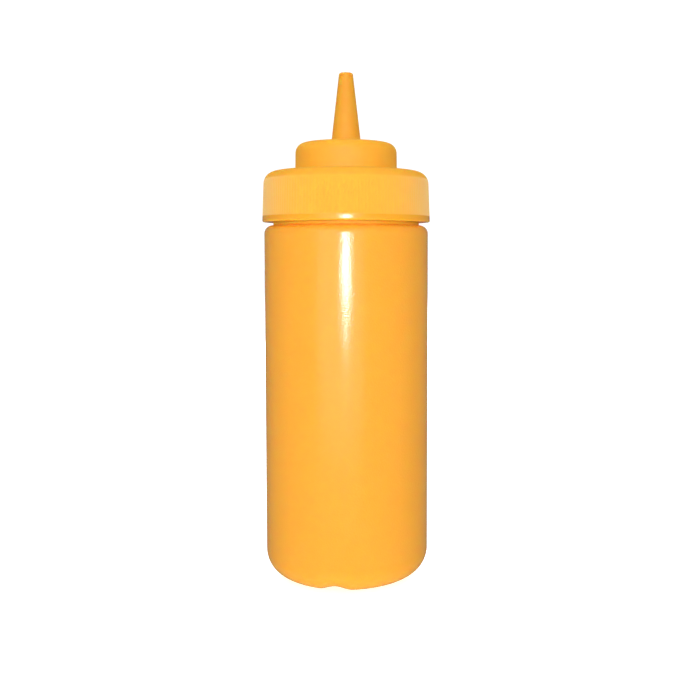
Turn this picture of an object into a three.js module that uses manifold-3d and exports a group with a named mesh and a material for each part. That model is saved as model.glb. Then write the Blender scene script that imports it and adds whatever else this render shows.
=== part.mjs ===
// A squeeze bottle for mustard: a blow-moulded round bottle, and a moulded screw cap with a cone nozzle.
// Millimetres, +Z up. The origin is the middle of the circle that the bottle stands on. The front faces -Y.
import * as THREE from 'three';
import { mergeVertices } from 'three/addons/utils/BufferGeometryUtils.js';
import Module from 'manifold-3d';

// Driving dimensions of the bottle
const BODY_RADIUS = 33.5;
const SHOULDER_HEIGHT = 144.4;
const SHOULDER_FILLET = 3.4;
const HEEL_FILLET = 10.8;
const STANDING_RING_WIDTH = 3.5;
const PUSH_UP_HEIGHT = 2.5;
const PUSH_UP_FLAT_SHARE = 0.7;
const NECK_LENGTH = 15;

// The soft notch that the mould's parting line leaves in the rim of the base, at both its ends
const NOTCH_WIDTH = 14;
const NOTCH_HEIGHT = 1.5;
const NOTCH_DEGREES = -8;
const NOTCH_FADE_POWER = 4;

// Driving dimensions of the cap
const CAP_GAP = 1.3;
const SKIRT_HEIGHT = 20.5;
const SKIRT_LOWER_RADIUS = 34.3;
const SKIRT_UPPER_RADIUS = 33.55;
const SKIRT_TOP_FILLET = 4.9;
const SKIRT_LOWER_EDGE = 0.6;
const TURRET_HEIGHT = 11.6;
const TURRET_LOWER_RADIUS = 20.8;
const TURRET_UPPER_RADIUS = 20.6;
const TURRET_FILLET = 3.9;
const NOZZLE_LENGTH = 28.4;
const NOZZLE_LOWER_RADIUS = 6.1;
const NOZZLE_TIP_RADIUS = 2.8;
const NOZZLE_TIP_EDGE = 0.4;
const OUTLET_RADIUS = 1.3;
const OUTLET_DEPTH = 5;

// The fine grip ribs between the cap's lower band and its rounded upper edge
const RIB_COUNT = 160;
const RIB_TIP_SHARE = 0.4;
const RIB_DEPTH = 0.25;
const LOWER_BAND_HEIGHT = 2.8;

// Clearance between the neck and the cap, and how finely round shapes are divided
const CLEARANCE = 0.4;
const BOTTLE_SEGMENTS = 120;
const CAP_SEGMENTS = RIB_COUNT / 2;
const PUSH_UP_STEPS = 5;

// Sizes that follow from those above
const NECK_RADIUS = BODY_RADIUS - SHOULDER_FILLET;
const NECK_TOP = SHOULDER_HEIGHT + NECK_LENGTH;
const RING_OUTER_RADIUS = BODY_RADIUS - HEEL_FILLET;
const RING_INNER_RADIUS = RING_OUTER_RADIUS - STANDING_RING_WIDTH;
const SKIRT_BOTTOM = SHOULDER_HEIGHT + CAP_GAP;
const SKIRT_TOP = SKIRT_BOTTOM + SKIRT_HEIGHT;
const TURRET_TOP = SKIRT_TOP + TURRET_HEIGHT;
const NOZZLE_TOP = TURRET_TOP + NOZZLE_LENGTH;

const wasm = await Module();
wasm.setup();

// Points of a round corner in a profile, between two angles counted from the radial direction. A larger
// fillet gets more points.
function corner(centreRadius, centreHeight, fillet, fromDegrees, toDegrees) {
  const steps = Math.max(2, Math.round(fillet));
  const points = [];
  for (let step = 0; step <= steps; step += 1) {
    const degrees = THREE.MathUtils.lerp(fromDegrees, toDegrees, step / steps);
    const angle = THREE.MathUtils.degToRad(degrees);
    const radius = centreRadius + fillet * Math.cos(angle);
    points.push(new THREE.Vector2(radius, centreHeight + fillet * Math.sin(angle)));
  }
  return points;
}

// A geometry with its shared corners joined, and without the faces that shrink to a line where a profile
// meets the axis
function joined(geometry) {
  geometry.deleteAttribute('normal');
  geometry.deleteAttribute('uv');
  const merged = mergeVertices(geometry);
  const corners = merged.index.array;
  const kept = [];
  for (let i = 0; i < corners.length; i += 3) {
    const [a, b, c] = corners.slice(i, i + 3);
    if (a !== b && b !== c && c !== a) {
      kept.push(a, b, c);
    }
  }
  merged.setIndex(kept);
  return merged;
}

// A solid of revolution about the upright axis. Its seam lies at the front.
function turned(profile, segments) {
  return joined(new THREE.LatheGeometry(profile, segments).rotateX(Math.PI / 2));
}

function solidOf(geometry) {
  const vertProperties = Float32Array.from(geometry.attributes.position.array);
  const triVerts = Uint32Array.from(geometry.index.array);
  return new wasm.Manifold(new wasm.Mesh({ numProp: 3, vertProperties, triVerts }));
}

function geometryOf(solid) {
  const { vertProperties, triVerts } = solid.getMesh();
  const geometry = new THREE.BufferGeometry();
  geometry.setAttribute('position', new THREE.BufferAttribute(vertProperties, 3));
  geometry.setIndex(new THREE.BufferAttribute(triVerts, 1));
  return geometry;
}

function piece(name, geometry, colour, roughness) {
  geometry.computeVertexNormals();
  const material = new THREE.MeshStandardMaterial({ color: colour, roughness, metalness: 0 });
  const mesh = new THREE.Mesh(geometry, material);
  mesh.name = name;
  return mesh;
}

// Half profile of the bottle, from the middle of its base up to the top of its neck. It is shut, so it is
// solid.
function bottleProfile() {
  const pushUpRise = new THREE.QuadraticBezierCurve(
    new THREE.Vector2(0, PUSH_UP_HEIGHT),
    new THREE.Vector2(RING_INNER_RADIUS * PUSH_UP_FLAT_SHARE, PUSH_UP_HEIGHT),
    new THREE.Vector2(RING_INNER_RADIUS, 0),
  );
  return [
    ...pushUpRise.getPoints(PUSH_UP_STEPS),
    ...corner(RING_OUTER_RADIUS, HEEL_FILLET, HEEL_FILLET, -90, 0),
    ...corner(NECK_RADIUS, SHOULDER_HEIGHT - SHOULDER_FILLET, SHOULDER_FILLET, 0, 90),
    new THREE.Vector2(NECK_RADIUS, NECK_TOP),
    new THREE.Vector2(0, NECK_TOP),
  ];
}

// Lifts the rim of the base to a soft arch where the parting plane crosses it. The lift fades out at the top
// of the heel, towards the middle of the base, and to both sides of the plane.
function liftNotches(geometry) {
  const plane = THREE.MathUtils.degToRad(NOTCH_DEGREES);
  const position = geometry.attributes.position;
  for (let i = 0; i < position.count; i += 1) {
    const x = position.getX(i);
    const y = position.getY(i);
    const z = position.getZ(i);
    const offPlane = Math.abs(x * Math.cos(plane) + y * Math.sin(plane));
    if (z < HEEL_FILLET && offPlane < NOTCH_WIDTH / 2) {
      const arch = Math.cos((Math.PI * offPlane) / NOTCH_WIDTH) ** 2;
      const inward = Math.min(1, Math.hypot(x, y) / RING_INNER_RADIUS) ** NOTCH_FADE_POWER;
      position.setZ(i, z + NOTCH_HEIGHT * arch * inward * (1 - z / HEEL_FILLET));
    }
  }
  return geometry;
}

// Half profile of the cap: the recess over the neck, the skirt, the turret, the nozzle and its outlet
function capProfile() {
  const recessRadius = NECK_RADIUS + CLEARANCE;
  const recessTop = NECK_TOP + CLEARANCE;
  const lowerEdge = SKIRT_LOWER_RADIUS - SKIRT_LOWER_EDGE;
  const outletFloor = NOZZLE_TOP - OUTLET_DEPTH;
  return [
    new THREE.Vector2(0, recessTop),
    new THREE.Vector2(recessRadius, recessTop),
    new THREE.Vector2(recessRadius, SKIRT_BOTTOM),
    ...corner(lowerEdge, SKIRT_BOTTOM + SKIRT_LOWER_EDGE, SKIRT_LOWER_EDGE, -90, 0),
    ...corner(SKIRT_UPPER_RADIUS - SKIRT_TOP_FILLET, SKIRT_TOP - SKIRT_TOP_FILLET, SKIRT_TOP_FILLET, 0, 90),
    new THREE.Vector2(TURRET_LOWER_RADIUS, SKIRT_TOP),
    ...corner(TURRET_UPPER_RADIUS - TURRET_FILLET, TURRET_TOP - TURRET_FILLET, TURRET_FILLET, 0, 90),
    new THREE.Vector2(NOZZLE_LOWER_RADIUS, TURRET_TOP),
    ...corner(NOZZLE_TIP_RADIUS - NOZZLE_TIP_EDGE, NOZZLE_TOP - NOZZLE_TIP_EDGE, NOZZLE_TIP_EDGE, 0, 90),
    new THREE.Vector2(OUTLET_RADIUS, NOZZLE_TOP),
    new THREE.Vector2(OUTLET_RADIUS, outletFloor),
    new THREE.Vector2(0, outletFloor),
  ];
}

// A ring whose toothed inner side cuts the grooves between the ribs. It leans in with the skirt's draft.
function ribCutter() {
  const pitch = (2 * Math.PI) / RIB_COUNT;
  const tipRadius = SKIRT_LOWER_RADIUS + CLEARANCE;
  const grooveRadius = SKIRT_LOWER_RADIUS - RIB_DEPTH;
  const teeth = [];
  for (let rib = 0; rib < RIB_COUNT; rib += 1) {
    const start = rib * pitch;
    const tipEnd = start + pitch * RIB_TIP_SHARE;
    const groove = (tipEnd + start + pitch) / 2;
    for (const [radius, angle] of [[tipRadius, start], [tipRadius, tipEnd], [grooveRadius, groove]]) {
      teeth.push(new THREE.Vector2(radius * Math.cos(angle), radius * Math.sin(angle)));
    }
  }
  const ring = new THREE.Shape().absarc(0, 0, SKIRT_LOWER_RADIUS + SKIRT_TOP_FILLET, 0, 2 * Math.PI);
  ring.holes.push(new THREE.Path(teeth));
  const depth = SKIRT_HEIGHT - LOWER_BAND_HEIGHT;
  const shape = { depth, bevelEnabled: false, curveSegments: RIB_COUNT };
  const cutter = joined(new THREE.ExtrudeGeometry(ring, shape));
  const position = cutter.attributes.position;
  for (let i = 0; i < position.count; i += 1) {
    const height = LOWER_BAND_HEIGHT + position.getZ(i);
    const radius = THREE.MathUtils.lerp(SKIRT_LOWER_RADIUS, SKIRT_UPPER_RADIUS, height / SKIRT_HEIGHT);
    const lean = radius / SKIRT_LOWER_RADIUS;
    position.setXYZ(i, position.getX(i) * lean, position.getY(i) * lean, SKIRT_BOTTOM + height);
  }
  return cutter;
}

function ribbedCap() {
  const plainCap = turned(capProfile(), CAP_SEGMENTS);
  return geometryOf(solidOf(plainCap).subtract(solidOf(ribCutter())));
}

const squeezeBottle = new THREE.Group();
squeezeBottle.add(piece('bottle', liftNotches(turned(bottleProfile(), BOTTLE_SEGMENTS)), '#f7a727', 0.3));
squeezeBottle.add(piece('cap', ribbedCap(), '#f8ac2c', 0.42));

export default squeezeBottle;
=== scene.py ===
# %% [markdown]
# # A mustard squeeze bottle
# The real thing is two mouldings of yellow plastic: a blow-moulded round bottle, and an injection-moulded
# screw cap with a cone nozzle. Both are solids of revolution, so almost all of the work here is to draw two
# half profiles and to turn them round the upright axis, the way a potter's wheel does.
#
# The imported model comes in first. It is the frame: the main sizes below are read from it or repeat its own,
# so the pieces fall into place by themselves. Only finer things differ, such as small fillets, the depth of
# the ribs and the slimmer neck.

# %% Load the frame
import math

import bmesh
import bpy
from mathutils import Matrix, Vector


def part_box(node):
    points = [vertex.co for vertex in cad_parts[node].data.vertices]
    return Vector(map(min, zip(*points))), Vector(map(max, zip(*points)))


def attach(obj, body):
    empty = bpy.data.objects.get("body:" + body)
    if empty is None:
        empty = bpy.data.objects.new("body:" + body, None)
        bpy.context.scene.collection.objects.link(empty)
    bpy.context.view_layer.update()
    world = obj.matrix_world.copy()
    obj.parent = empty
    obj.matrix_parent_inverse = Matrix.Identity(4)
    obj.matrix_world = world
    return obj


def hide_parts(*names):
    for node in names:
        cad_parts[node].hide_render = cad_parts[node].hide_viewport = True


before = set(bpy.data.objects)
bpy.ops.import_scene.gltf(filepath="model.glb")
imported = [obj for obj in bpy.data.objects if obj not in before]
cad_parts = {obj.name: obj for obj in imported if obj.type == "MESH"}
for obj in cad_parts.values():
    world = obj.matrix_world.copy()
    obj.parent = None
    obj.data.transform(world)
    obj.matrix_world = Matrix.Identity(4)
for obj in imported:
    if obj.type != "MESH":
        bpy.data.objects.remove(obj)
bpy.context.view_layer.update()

print("nodes in the frame:", sorted(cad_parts))

# %% [markdown]
# ## The camera
# The photograph was taken from close by, from about two thirds of the bottle's height. The lens looks
# slightly down, and a small lens shift moves the frame to the left and down. Turning the camera further
# would do that too, but it would also tilt the bottle's sides, which stand upright in the photograph.

# %% Place the camera
LENS_MM = 49.5
SENSOR_MM = 36
LENS_SHIFT = Vector((-0.05, -0.05))
CAMERA_PLACE = Vector((0.0159, -0.3975, 0.1345))
LEVEL_DEGREES = 90
CAMERA_PITCH_DEGREES = 3.88
NEAREST_SEEN = 0.01

camera_data = bpy.data.cameras.new("photo_camera")
camera_data.lens = LENS_MM
camera_data.sensor_width = SENSOR_MM
camera_data.shift_x, camera_data.shift_y = LENS_SHIFT
camera_data.clip_start = NEAREST_SEEN
camera = bpy.data.objects.new("photo_camera", camera_data)
camera.location = CAMERA_PLACE
camera.rotation_euler.x = math.radians(LEVEL_DEGREES - CAMERA_PITCH_DEGREES)
bpy.context.scene.collection.objects.link(camera)
bpy.context.scene.camera = camera
print("camera", round(CAMERA_PLACE.length, 3), "m from the middle of the base")

# %% [markdown]
# ## A profile with round corners
# A half profile is a wire in the XZ plane. It could be drawn point by point along each arc, but a moulder
# thinks of it as a few sharp corners and the radius that each is rounded by. A vertex bevel does the same:
# it slides along both edges of a corner by the radius and fills in an arc.

# %% Round the corners of a profile
MM = 0.001
STEPS_PER_MM_OF_FILLET = 2
LEAST_FILLET_STEPS = 4


def fillet_steps(fillet):
    """How many edges the arc of a fillet gets."""
    return LEAST_FILLET_STEPS + round(STEPS_PER_MM_OF_FILLET * fillet / MM)


def rounded_wire(corners):
    """A wire through (radius, height, fillet) corners, with each corner rounded by its own fillet."""
    wire = bmesh.new()
    points = [wire.verts.new((radius, 0, height)) for radius, height, fillet in corners]
    for start, end in zip(points, points[1:]):
        wire.edges.new((start, end))
    for point, (radius, height, fillet) in zip(points, corners):
        if fillet:
            bmesh.ops.bevel(wire, geom=[point], offset=fillet, offset_type="OFFSET",
                            segments=fillet_steps(fillet), profile=0.5, material=-1, affect="VERTICES")
    return wire


print("a fillet of 1 mm gets", fillet_steps(MM), "steps")

# %% [markdown]
# ## The bottle's sizes
# The bottle is a plain cylinder with a tight shoulder and a wide, soft heel. Underneath, the base is pushed
# up in the middle so that the bottle stands on a ring and doesn't rock. The neck inside the cap is plain,
# because nothing of it shows but a thin line below the cap. The radius and the top of the neck could be
# typed in like the rest, but they are read from the frame, so that the bottle fills its node.

# %% Size the bottle
bottle_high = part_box("bottle")[1]
BODY_RADIUS = bottle_high[0]
NECK_TOP = bottle_high[2]
SHOULDER_HEIGHT = 144.4 * MM
SHOULDER_FILLET = 3.4 * MM
NECK_INSET = 0.3 * MM
NECK_FOOT_FILLET = 0.29 * MM
HEEL_FILLET = 10.8 * MM
STANDING_RING_WIDTH = 3.5 * MM
RING_FILLET = 0.8 * MM
PUSH_UP_HEIGHT = 2.5 * MM
PUSH_UP_FLAT_SHARE = 0.7
PUSH_UP_FILLET = 5 * MM

NECK_RADIUS = BODY_RADIUS - SHOULDER_FILLET - NECK_INSET
RING_INNER_RADIUS = BODY_RADIUS - HEEL_FILLET - STANDING_RING_WIDTH
print("bottle radius", round(BODY_RADIUS, 4), "neck radius", round(NECK_RADIUS, 4))

# %% [markdown]
# ## The bottle's profile
# The profile starts in the middle of the base. It goes out over the push-up, round the heel, up the wall
# and in over the shoulder to the neck, which it meets in a tiny fillet. A bevelled cylinder could be the
# start instead, but then the push-up and the neck would have to be added on. In a profile each is one more
# corner.

# %% Draw the bottle's profile
bottle_wire = rounded_wire([
    (0, PUSH_UP_HEIGHT, 0),
    (RING_INNER_RADIUS * PUSH_UP_FLAT_SHARE, PUSH_UP_HEIGHT, PUSH_UP_FILLET),
    (RING_INNER_RADIUS, 0, RING_FILLET),
    (BODY_RADIUS, 0, HEEL_FILLET),
    (BODY_RADIUS, SHOULDER_HEIGHT, SHOULDER_FILLET),
    (NECK_RADIUS, SHOULDER_HEIGHT, NECK_FOOT_FILLET),
    (NECK_RADIUS, NECK_TOP, 0),
    (0, NECK_TOP, 0),
])
print("the bottle's profile has", len(bottle_wire.verts), "points")

# %% [markdown]
# ## Turning a profile
# A mould for a round part is turned on a lathe, and spin does the same to a wire. A Screw modifier could do
# it too, but spin leaves plain vertices that the next cells can lift and press in. A full spin ends where
# it began, so its last column is merged with the first. A point on the axis comes out once for each step,
# so doubles are merged too, and after that all faces are turned to point outwards.

# %% Turn the bottle
BOTTLE_STEPS = 240
MERGE_DISTANCE = 0.001 * MM


def turn(wire, steps):
    """Spins a wire once round the upright axis to a closed skin whose faces point outwards."""
    bmesh.ops.spin(wire, geom=wire.verts[:] + wire.edges[:], cent=(0, 0, 0), axis=(0, 0, 1),
                   angle=2 * math.pi, steps=steps, use_merge=True)
    bmesh.ops.remove_doubles(wire, verts=wire.verts[:], dist=MERGE_DISTANCE)
    bmesh.ops.recalc_face_normals(wire, faces=wire.faces[:])
    return wire


bottle_shape = turn(bottle_wire, BOTTLE_STEPS)
print("the bottle has", len(bottle_shape.faces), "faces")

# %% [markdown]
# ## The notch in the heel
# Blow moulding closes two half moulds on a hot tube, and where they meet under the base the rim is pinched
# up to a soft arch. It shows at the front edge, a little left of the middle, and its twin is opposite. No
# operator makes that swell directly, so the heel's vertices are lifted by a smooth weight: most at the
# parting plane, and nothing at the sides, at the top of the heel and in the middle of the base.

# %% Lift the notch
NOTCH_WIDTH = 14 * MM
NOTCH_HEIGHT = 1.5 * MM
NOTCH_ANGLE = math.radians(-8)
NOTCH_FADE_POWER = 4

across_parting = Vector((math.cos(NOTCH_ANGLE), math.sin(NOTCH_ANGLE), 0))
lifted = 0
for vertex in bottle_shape.verts:
    off_plane = abs(vertex.co.dot(across_parting))
    if vertex.co.z < HEEL_FILLET and off_plane < NOTCH_WIDTH / 2:
        arch = math.cos(math.pi * off_plane / NOTCH_WIDTH) ** 2
        inward = min(1, vertex.co.xy.length / RING_INNER_RADIUS) ** NOTCH_FADE_POWER
        vertex.co.z += NOTCH_HEIGHT * arch * inward * (1 - vertex.co.z / HEEL_FILLET)
        lifted += 1
print("lifted", lifted, "vertices of the heel")

# %% [markdown]
# ## From bmesh to a piece
# A bmesh is a workbench: it shows only once it is written into a mesh that an object holds. The piece rides
# on the frame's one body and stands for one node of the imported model. More faces could make the turned skin
# look round, but smooth shading does that for nothing. An edge stays sharp only where two faces meet at a
# steep angle.

# %% Hand the bottle over as a piece
SHARP_ANGLE = math.radians(50)


def finished_piece(name, shape, node):
    """Makes an object of a bmesh, which replaces a node of the frame and rides on its body."""
    mesh = bpy.data.meshes.new(name)
    shape.to_mesh(mesh)
    shape.free()
    mesh.shade_smooth()
    mesh.set_sharp_from_angle(angle=SHARP_ANGLE)
    piece = bpy.data.objects.new(name, mesh)
    bpy.context.scene.collection.objects.link(piece)
    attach(piece, "root")
    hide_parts(node)
    triangles = sum(len(face.vertices) - 2 for face in mesh.polygons)
    print(name, "has", triangles, "triangles")
    return piece


bottle = finished_piece("bottle_moulding", bottle_shape, "bottle")

# %% [markdown]
# ## The skirt's sizes
# The cap is one moulding: a ribbed skirt, a turret and a long cone nozzle with a small round outlet. The
# skirt is hollow, to go over the neck, and it has a smooth band along its bottom. Every outer wall leans in
# a little, so that the part comes out of its mould. The lean could be an angle, but a lower and an upper
# radius are easier to measure, and the radius at any height between them follows.

# %% Size the skirt
cap_low, cap_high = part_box("cap")
SKIRT_LOWER_RADIUS = cap_high[0]
SKIRT_UPPER_RADIUS = 33.55 * MM
SKIRT_HEIGHT = 20.5 * MM
SKIRT_BOTTOM = cap_low[2]
SKIRT_TOP = SKIRT_BOTTOM + SKIRT_HEIGHT
SKIRT_TOP_FILLET = 4.9 * MM
SKIRT_LOWER_EDGE = 0.6 * MM
LOWER_BAND_HEIGHT = 2.8 * MM
LOWER_BAND_TOP = SKIRT_BOTTOM + LOWER_BAND_HEIGHT
CLEARANCE = 0.4 * MM


def skirt_radius(height):
    """Radius of the skirt's plain outer wall at a height."""
    share = (height - SKIRT_BOTTOM) / (SKIRT_TOP - SKIRT_BOTTOM)
    return SKIRT_LOWER_RADIUS + share * (SKIRT_UPPER_RADIUS - SKIRT_LOWER_RADIUS)


print("skirt radius", round(SKIRT_LOWER_RADIUS, 4), "above the band", round(skirt_radius(LOWER_BAND_TOP), 4))

# %% [markdown]
# ## The sizes of the turret and the nozzle
# The turret lifts the nozzle clear of the skirt, and the nozzle narrows to the outlet. They could be pieces
# of their own, but the real cap has no seam there, so they are more stretches of the same profile. No mould
# has a perfectly sharp inner corner, so the creases between them get a small fillet too.

# %% Size the turret and the nozzle
TURRET_HEIGHT = 11.6 * MM
TURRET_TOP = SKIRT_TOP + TURRET_HEIGHT
TURRET_LOWER_RADIUS = 20.8 * MM
TURRET_UPPER_RADIUS = 20.6 * MM
TURRET_FILLET = 3.9 * MM
NOZZLE_LOWER_RADIUS = 6.1 * MM
NOZZLE_TIP_RADIUS = 2.8 * MM
NOZZLE_TIP_EDGE = 0.6 * MM
NOZZLE_TOP = cap_high[2]
OUTLET_RADIUS = 1.3 * MM
OUTLET_DEPTH = 5 * MM
OUTLET_FLOOR = NOZZLE_TOP - OUTLET_DEPTH
CREASE_FILLET = 0.3 * MM
print("turret top", round(TURRET_TOP, 4), "nozzle top", round(NOZZLE_TOP, 4))

# %% [markdown]
# ## The cap's profile
# The profile runs from the ceiling of the hollow down inside the skirt, round its lower edge and up over
# the outer wall, the turret and the nozzle to the floor of the outlet. The hollow could be cut out
# afterwards, but in the profile it comes for free. The cap is turned with five columns of faces to a rib,
# which is just enough to press the grooves in next.

# %% Turn the cap
RIB_COUNT = 160
COLUMNS_PER_RIB = 5
GROOVE_RUN_OUT = 0.5 * MM

groove_start = LOWER_BAND_TOP + GROOVE_RUN_OUT
cap_shape = turn(rounded_wire([
    (0, NECK_TOP + CLEARANCE, 0),
    (NECK_RADIUS + CLEARANCE, NECK_TOP + CLEARANCE, 0),
    (NECK_RADIUS + CLEARANCE, SKIRT_BOTTOM, 0),
    (SKIRT_LOWER_RADIUS, SKIRT_BOTTOM, SKIRT_LOWER_EDGE),
    (skirt_radius(LOWER_BAND_TOP), LOWER_BAND_TOP, 0),
    (skirt_radius(groove_start), groove_start, 0),
    (SKIRT_UPPER_RADIUS, SKIRT_TOP, SKIRT_TOP_FILLET),
    (TURRET_LOWER_RADIUS, SKIRT_TOP, CREASE_FILLET),
    (TURRET_UPPER_RADIUS, TURRET_TOP, TURRET_FILLET),
    (NOZZLE_LOWER_RADIUS, TURRET_TOP, CREASE_FILLET),
    (NOZZLE_TIP_RADIUS, NOZZLE_TOP, NOZZLE_TIP_EDGE),
    (OUTLET_RADIUS, NOZZLE_TOP, 0),
    (OUTLET_RADIUS, OUTLET_FLOOR, 0),
    (0, OUTLET_FLOOR, 0),
]), RIB_COUNT * COLUMNS_PER_RIB)
print("the cap has", len(cap_shape.faces), "faces")

# %% [markdown]
# ## The grip ribs
# Fine upright ribs round the skirt give wet fingers a hold. They start above the smooth band at the bottom
# and run out on the rounded top edge. Each could be a solid of its own, but it is enough to press the
# columns of faces in along a wave: not at all at the tip of a rib, and fully between two ribs. Where the
# rounded edge already lies further in, it stays as it is, and the ribs run out by themselves.

# %% Press in the grooves
RIB_DEPTH = 0.1 * MM
RIB_TIP_PLACE = 0.2

pressed = 0
for vertex in cap_shape.verts:
    radius = vertex.co.xy.length
    wall_radius = skirt_radius(vertex.co.z)
    if vertex.co.z > LOWER_BAND_TOP + GROOVE_RUN_OUT / 2 and radius > wall_radius - RIB_DEPTH:
        past_tip = math.atan2(vertex.co.y, vertex.co.x) * RIB_COUNT - 2 * math.pi * RIB_TIP_PLACE
        depth = RIB_DEPTH * (1 - math.cos(past_tip)) / 2
        vertex.co.xy *= min(radius, wall_radius - depth) / radius
        pressed += 1
print("pressed in", pressed, "vertices of the ribs")
cap = finished_piece("cap_moulding", cap_shape, "cap")

# %% [markdown]
# ## Shader maths as Python
# A finish is a graph of nodes, and long graphs are hard to read as code. So one small class wraps a socket:
# adding or multiplying two of them adds a Math node, and any other node is made by one method, from its
# type, its settings and what goes into its sockets.

# %% A socket that does sums


class Signal:
    """An output socket in a tree of nodes, or a plain place to start from."""

    def __init__(self, tree, socket=None):
        self.tree = tree
        self.socket = socket

    def node(self, kind, settings, sockets, output=0):
        """Adds a node, sets it up, fills its sockets and returns one of its outputs."""
        node = self.tree.nodes.new(kind)
        for name, value in settings.items():
            setattr(node, name, value)
        for name, value in sockets.items():
            if isinstance(value, Signal):
                self.tree.links.new(value.socket, node.inputs[name])
            else:
                node.inputs[name].default_value = value
        return Signal(self.tree, node.outputs[output]) if node.outputs else None

    def sum_of(self, operation, first, second):
        """A Math node on two values."""
        return self.node("ShaderNodeMath", {"operation": operation}, {0: first, 1: second})

    def __add__(self, other):
        return self.sum_of("ADD", self, other)

    def __radd__(self, other):
        return self.sum_of("ADD", other, self)

    def __sub__(self, other):
        return self.sum_of("SUBTRACT", self, other)

    def __rsub__(self, other):
        return self.sum_of("SUBTRACT", other, self)

    def __mul__(self, other):
        return self.sum_of("MULTIPLY", self, other)

    def __rmul__(self, other):
        return self.sum_of("MULTIPLY", other, self)


print("signals can be added, subtracted and multiplied")

# %% [markdown]
# ## A finish that knows its place
# The patterns in a plastic have to stay with the piece. A UV map could hold them, but a turned skin would
# need a seam for it. So the finishes read Object coordinates, which are in metres and start in the middle
# of the base. On these round pieces the height alone tells one zone from the next.

# %% Start the bottle's finish


def new_finish(name):
    """A new material with no nodes, and a place to start its maths from."""
    material = bpy.data.materials.new(name)
    material.use_nodes = True
    material.node_tree.nodes.clear()
    return material, Signal(material.node_tree)


def place_and_height(start):
    """Object coordinates, and the height among them."""
    place = start.node("ShaderNodeTexCoord", {}, {}, "Object")
    return place, place.node("ShaderNodeSeparateXYZ", {}, {"Vector": place}, "Z")


bottle_finish, start = new_finish("bottle_plastic")
place, height = place_and_height(start)
print("bottle finish starts with", len(bottle_finish.node_tree.nodes), "nodes")

# %% [markdown]
# ## The bottle's grain, streaks and drift
# Close up, the plastic has a fine grain from the steel of the mould, faint upright streaks from the tube
# that the bottle was blown from, and a slow drift of tone where the pigment isn't quite evenly mixed.
# Pictures of plastic could show that, but noise has no seam. Its scale is simply how many grains fit in a
# metre, and a small number along one axis draws the grains out to streaks.

# %% Make the bottle's patterns
NOISE_DETAIL = 2.0
NOISE_ROUGHNESS = 0.6
BOTTLE_GRAINS = 1700
BOTTLE_GRAIN_DETAIL = 0.0
BOTTLE_STREAKS = 700
STREAK_DETAIL = 3.0
STREAK_STRETCH = (1, 1, 0.03)
BOTTLE_DRIFTS = 30


def noise(place, grains_per_metre, detail=NOISE_DETAIL):
    """Noise from 0 to 1 with so many grains in a metre."""
    sockets = {"Vector": place, "Scale": grains_per_metre, "Detail": detail, "Roughness": NOISE_ROUGHNESS}
    return place.node("ShaderNodeTexNoise", {}, sockets)


grain = noise(place, BOTTLE_GRAINS, BOTTLE_GRAIN_DETAIL)
stretched = place.node("ShaderNodeVectorMath", {"operation": "MULTIPLY"}, {0: place, 1: STREAK_STRETCH})
streaks = noise(stretched, BOTTLE_STREAKS, STREAK_DETAIL)
drift = noise(place, BOTTLE_DRIFTS)
print("a grain of the bottle is about", round(1 / BOTTLE_GRAINS / MM, 2), "mm wide")

# %% [markdown]
# ## The neck in the gap
# In the gap under the cap the light goes to and fro between orange walls, which deepens its colour. The
# bounces of the light alone leave the gap too grey, so the neck there is painted a warmer, brighter orange:
# painted bounce light. It also gets less gloss. It could have a material of its own, but a mask that steps
# up by height fades in softly and needs no border in the mesh.

# %% Mark the neck
NECK_FADE = 0.8 * MM


def step_up(value, start, run):
    """Rises smoothly from 0 to 1 as a value goes from start to start + run."""
    settings = {"interpolation_type": "SMOOTHSTEP"}
    sockets = {"Value": value, "From Min": start, "From Max": start + run}
    return value.node("ShaderNodeMapRange", settings, sockets)


on_neck = step_up(height, SHOULDER_HEIGHT - NECK_FADE, NECK_FADE)
print("the neck's finish begins", round(SHOULDER_HEIGHT - NECK_FADE, 4), "m up")

# %% [markdown]
# ## The bottle's tone
# The wall is one yellow, which wavers a little between a lower and a higher tone, mostly with the drift and
# partly with the streaks. A Math node would turn a colour grey, so tones are blended by a Mix node. It has
# sockets for numbers, vectors and colours, many of them with the same names, so the ones for colours are
# picked by their places.

# %% Blend the bottle's tones
BOTTLE_LOW_TONE = (0.77, 0.35, 0.034)
BOTTLE_HIGH_TONE = (0.8, 0.368, 0.04)
STREAK_TONE_SHARE = 0.3
# Painted bounce light: a warmer, brighter orange for the neck in the gap and for the cap's lowest edge.
NECK_PAINTED_GLOW_TONE = (0.98, 0.42, 0.03)
MIX_COLOUR_INPUTS = (6, 7)
MIX_COLOUR_OUTPUT = 2


def blend(share, *tones):
    """A colour between two tones, each a plain colour or a signal."""
    settings = {"data_type": "RGBA", "blend_type": "MIX", "clamp_factor": True}
    colours = [tone if isinstance(tone, Signal) else (*tone, 1) for tone in tones]
    sockets = {"Factor": share, **dict(zip(MIX_COLOUR_INPUTS, colours))}
    return share.node("ShaderNodeMix", settings, sockets, MIX_COLOUR_OUTPUT)


tone_share = drift * (1 - STREAK_TONE_SHARE) + streaks * STREAK_TONE_SHARE
wall_tone = blend(tone_share, BOTTLE_LOW_TONE, BOTTLE_HIGH_TONE)
# The neck in the gap is painted with the gap's bounce light.
tone = blend(on_neck, wall_tone, NECK_PAINTED_GLOW_TONE)
print("bottle finish has", len(bottle_finish.node_tree.nodes), "nodes so far")

# %% [markdown]
# ## The bottle's skin
# The wall is glossy, and the neck is dull. The strip of shine breaks up at its lower end, because the skin
# is uneven by some hundredths of a millimetre. That could be pushed into the mesh, but it would take
# millions of faces, and nothing so shallow shows in the outline. So a bump only tilts the light.

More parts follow.
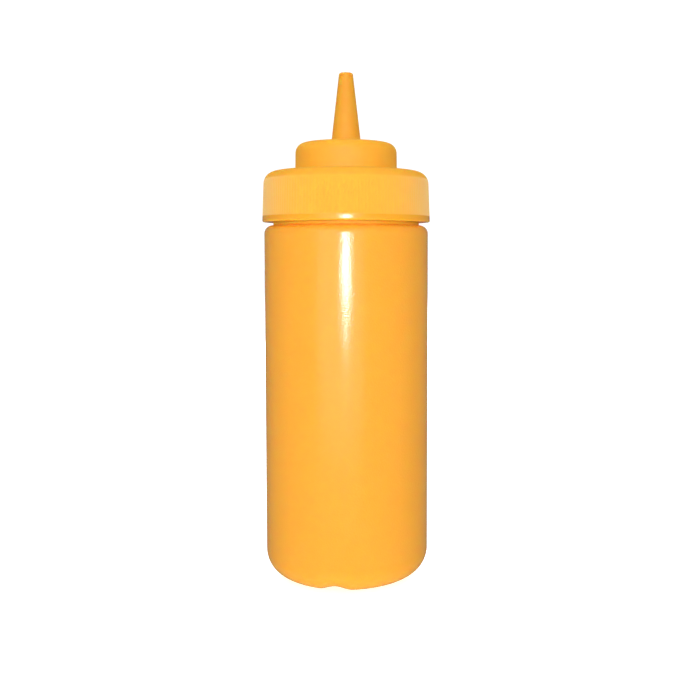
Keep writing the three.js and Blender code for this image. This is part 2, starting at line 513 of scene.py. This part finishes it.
# %% Roughen the bottle's skin
BOTTLE_ROUGHNESS = 0.1
GRAIN_ROUGHNESS = 0.12
NECK_ROUGHNESS = 0.55
SKIN_DEPTH = 0.046 * MM
STREAK_SKIN_SHARE = 0.1


def bumpy(height):
    """The normal of a skin that is rough by a height from 0 to 1."""
    return height.node("ShaderNodeBump", {}, {"Height": height, "Distance": SKIN_DEPTH})


roughness = BOTTLE_ROUGHNESS + grain * GRAIN_ROUGHNESS + on_neck * (NECK_ROUGHNESS - BOTTLE_ROUGHNESS)
skin = bumpy(grain * (1 - STREAK_SKIN_SHARE) + streaks * STREAK_SKIN_SHARE)
print("the skin is uneven by up to", round(SKIN_DEPTH / MM, 3), "mm")

# %% [markdown]
# ## The bottle's plastic
# Soft polyethylene squeezes well and looks slightly waxy. The light goes a little way into it, red light
# the furthest, so the colour turns warmer where less light falls. A plain diffuse colour would look like
# paint, and subsurface scattering gives that glow.

# %% Finish the bottle
GLOW_SHARE = 1.0
GLOW_REACH = (1, 0.45, 0.12)
GLOW_DEPTH = 3 * MM


def plastic(tone, roughness, skin, **constants):
    """A plastic that light goes a little way into."""
    return skin.node("ShaderNodeBsdfPrincipled", {}, {
        "Base Color": tone,
        "Roughness": roughness,
        "Normal": skin,
        "Subsurface Weight": GLOW_SHARE,
        "Subsurface Radius": GLOW_REACH,
        "Subsurface Scale": GLOW_DEPTH,
        **constants,
    })


def dress(piece, finish, shader):
    """Ends a finish with its shader and puts it on a piece."""
    shader.node("ShaderNodeOutputMaterial", {}, {"Surface": shader})
    piece.data.materials.append(finish)
    print(finish.name, "has", len(finish.node_tree.nodes), "nodes")


dress(bottle, bottle_finish, plastic(tone, roughness, skin))

# %% [markdown]
# ## The cap's zones
# The cap is a harder plastic. Its mould is polished only along the bottom band, which is glossy. The ribs
# lie between that band and the rounded edge, and the turret and the nozzle come from a finely blasted
# mould. Each zone could have a material of its own, but then its border would have to follow the faces. A
# mask by height lies where it is wanted and can fade out softly.

# %% Mark the cap's zones
RIB_FADE = 0.6 * MM
RIB_RUN_OUT = 1.4 * MM
NOZZLE_FADE = 2 * MM

cap_finish, start = new_finish("cap_plastic")
place, height = place_and_height(start)
ribs_end = SKIRT_TOP - SKIRT_TOP_FILLET + RIB_RUN_OUT
# Below this mask's rise, the skirt's lowest edge is painted with the gap's bounce light.
above_lower_edge = step_up(height, SKIRT_BOTTOM, SKIRT_LOWER_EDGE)
above_band = step_up(height, LOWER_BAND_TOP - RIB_FADE, RIB_FADE)
on_ribs = above_band * (1 - step_up(height, ribs_end, RIB_FADE))
# Where the nozzle is painted darker, as painted shade.
nozzle_painted_shade_mask = step_up(height, TURRET_TOP, NOZZLE_FADE)
print("ribs from", round(LOWER_BAND_TOP, 4), "to", round(ribs_end, 4), "m up")

# %% [markdown]
# ## The cap's tones
# The ribs are too fine to see one by one, but together they scatter the light and look lighter than the
# band, so their zone is painted lighter: painted sheen. The nozzle is painted darker than the turret, as
# painted shade, and the lowest edge of the skirt is painted with the bounce light of the gap. One ramp over
# the height could hold all of these, but a blend for each zone keeps its tone and its mask together.

# %% Blend the cap's tones
CAP_TONE = (0.74, 0.352, 0.028)
# Painted sheen: the ribbed zone is painted lighter than the band, for the light that its ribs scatter.
RIB_PAINTED_SHEEN_TONE = (0.78, 0.372, 0.005)
# Painted shade: the nozzle is painted darker than the turret.
NOZZLE_PAINTED_SHADE_TONE = (0.66, 0.308, 0.022)
CAP_DRIFTS = 40
DRIFT_TONE_SHARE = 0.1

drift = noise(place, CAP_DRIFTS)
tone_share = on_ribs * (1 - DRIFT_TONE_SHARE) + drift * DRIFT_TONE_SHARE
skirt_tone = blend(tone_share, CAP_TONE, RIB_PAINTED_SHEEN_TONE)
# The skirt's lowest edge is painted with the same bounce light as the neck.
lower_tone = blend(above_lower_edge, NECK_PAINTED_GLOW_TONE, skirt_tone)
# The nozzle is painted darker: painted shade.
tone = blend(nozzle_painted_shade_mask, lower_tone, NOZZLE_PAINTED_SHADE_TONE)
print("cap finish has", len(cap_finish.node_tree.nodes), "nodes so far")

# %% [markdown]
# ## The cap's skin
# The band is glossy, and the turret and the nozzle are duller, with a fine grain. The ribs scatter the
# light: they look dull, and pale towards the sides, as velvet does. Deeper ribs could do that too, but then
# they would show one by one. So a second shader with a sheen is mixed in where the ribs are.

# %% Finish the cap
BAND_ROUGHNESS = 0.08
TURRET_ROUGHNESS = 0.52
RIB_ROUGHNESS = 0.6
RIB_SPECULAR = 0.15
RIB_SHEEN = 0.27
RIB_SHEEN_ROUGHNESS = 0.74
RIB_SHEEN_TINT = (1, 0.95, 0.9, 1)
CAP_GRAINS = 2600
CAP_SKIN_SHARE = 0.8

grain = noise(place, CAP_GRAINS)
roughness = BAND_ROUGHNESS + grain * GRAIN_ROUGHNESS + above_band * (TURRET_ROUGHNESS - BAND_ROUGHNESS)
skin = bumpy(grain * CAP_SKIN_SHARE)
smooth_plastic = plastic(tone, roughness, skin)
ribbed_plastic = plastic(tone, RIB_ROUGHNESS, skin, **{
    "Specular IOR Level": RIB_SPECULAR,
    "Sheen Weight": RIB_SHEEN,
    "Sheen Roughness": RIB_SHEEN_ROUGHNESS,
    "Sheen Tint": RIB_SHEEN_TINT,
})
shader = place.node("ShaderNodeMixShader", {}, {"Fac": on_ribs, 1: smooth_plastic, 2: ribbed_plastic})
dress(cap, cap_finish, shader)

# %% [markdown]
# ## The floor
# A large white sheet is all that the bottle stands on. A square would do as well, but a disc has no corners
# to show. A lamp below shines up through it, as on a light table, so the sheet casts no shadow. The bottle
# doesn't mirror the sheet and isn't lit by it, because the photograph shows no gleam of a floor along the
# heel.

# %% Lay the floor
FLOOR_RADIUS = 6
FLOOR_SIDES = 64

floor_shape = bmesh.new()
bmesh.ops.create_circle(floor_shape, cap_ends=True, segments=FLOOR_SIDES, radius=FLOOR_RADIUS)
floor_mesh = bpy.data.meshes.new("floor")
floor_shape.to_mesh(floor_mesh)
floor_shape.free()
floor = bpy.data.objects.new("floor", floor_mesh)
bpy.context.scene.collection.objects.link(floor)
floor.visible_diffuse = False
floor.visible_glossy = False
floor.visible_shadow = False
print("floor", 2 * FLOOR_RADIUS, "m across")

# %% [markdown]
# ## The white of the floor
# The sheet glows a little, as backlit paper does, so that it meets the white room at the horizon and still
# takes a faint tint under the bottle. A sheet that only glows would be simpler, but it would take no tint.

# %% Finish the floor
FLOOR_TONE = (0.9, 0.9, 0.9, 1)
FLOOR_ROUGHNESS = 0.9
FLOOR_GLOW = 0.64
WHITE = (1, 1, 1, 1)

floor_finish, start = new_finish("white_sheet")
dress(floor, floor_finish, start.node("ShaderNodeBsdfPrincipled", {}, {
    "Base Color": FLOOR_TONE,
    "Roughness": FLOOR_ROUGHNESS,
    "Emission Color": WHITE,
    "Emission Strength": FLOOR_GLOW,
}))

# %% [markdown]
# ## The room
# The bottle stands in a white room. The camera sees the room as pure white, but a room that bright would
# wash out the bottle, so it lights the bottle less, and shows even less in its skin. White walls could be
# modelled round it, but the world's own background is simpler and has no corners, and Light Path nodes tell
# these three cases apart.

# %% Paint the room
ROOM_SEEN = 1.1
ROOM_LIGHT = 0.48
ROOM_SHINE = 0.18

world = bpy.data.worlds.new("white_room")
world.use_nodes = True
world.node_tree.nodes.clear()
room = Signal(world.node_tree)
seen = room.node("ShaderNodeLightPath", {}, {}, "Is Camera Ray")
mirrored = room.node("ShaderNodeLightPath", {}, {}, "Is Glossy Ray")
strength = ROOM_LIGHT + seen * (ROOM_SEEN - ROOM_LIGHT) + mirrored * (ROOM_SHINE - ROOM_LIGHT)
background = room.node("ShaderNodeBackground", {}, {"Color": WHITE, "Strength": strength})
room.node("ShaderNodeOutputWorld", {}, {"Surface": background})
bpy.context.scene.world = world
bpy.context.scene.view_settings.view_transform = "Standard"
print("room light", ROOM_LIGHT, "room shine", ROOM_SHINE)

# %% [markdown]
# ## The lamps
# A small lamp beside the lens draws the upright strip of shine down the middle of the bottle, and a twin of
# it does the same for the back. The wide lamps only give soft light: from the front, where the photograph
# is brightest, from both sides of the back, a little from above, and through the floor from below, which
# keeps the heel from going dark. Most of them don't show in the shine, because the photograph has just one
# strip.

# %% Hang the lamps
AIM = Vector((0, 0, 0.11))

# Name, place, width, height, watts, and whether it shows in the shine
LAMPS = [
    ("strip_lamp", (0.03, -1.03, 0.18), 0.16, 0.10, 3.8, True),
    ("back_strip_lamp", (-0.03, 1.03, 0.18), 0.16, 0.10, 3.8, True),
    ("front_lamp", (-0.2, -1.8, 0.6), 2.4, 2.0, 16, True),
    ("fill_lamp", (0.05, -1.8, 0.2), 0.6, 0.4, 12.8, False),
    ("back_left_lamp", (-1.0, 1.75, 0.5), 1.0, 1.0, 21, False),
    ("back_right_lamp", (1.0, 1.75, 0.5), 1.0, 1.0, 21, False),
    ("top_lamp", (0, 0.2, 1.7), 1.0, 1.0, 8, False),
    ("under_lamp", (0, 0, -1.2), 1.0, 1.0, 14, False),
]


def hang_lamp(name, place, width, height, watts, shows_in_shine):
    """A rectangular soft lamp that faces the bottle."""
    light = bpy.data.lights.new(name, "AREA")
    light.shape = "RECTANGLE"
    light.size = width
    light.size_y = height
    light.energy = watts
    holder = bpy.data.objects.new(name, light)
    holder.location = place
    holder.rotation_euler = (AIM - holder.location).to_track_quat("-Z", "Y").to_euler()
    holder.visible_glossy = shows_in_shine
    bpy.context.scene.collection.objects.link(holder)


for row in LAMPS:
    hang_lamp(*row)
print("lamps hung:", len(LAMPS))
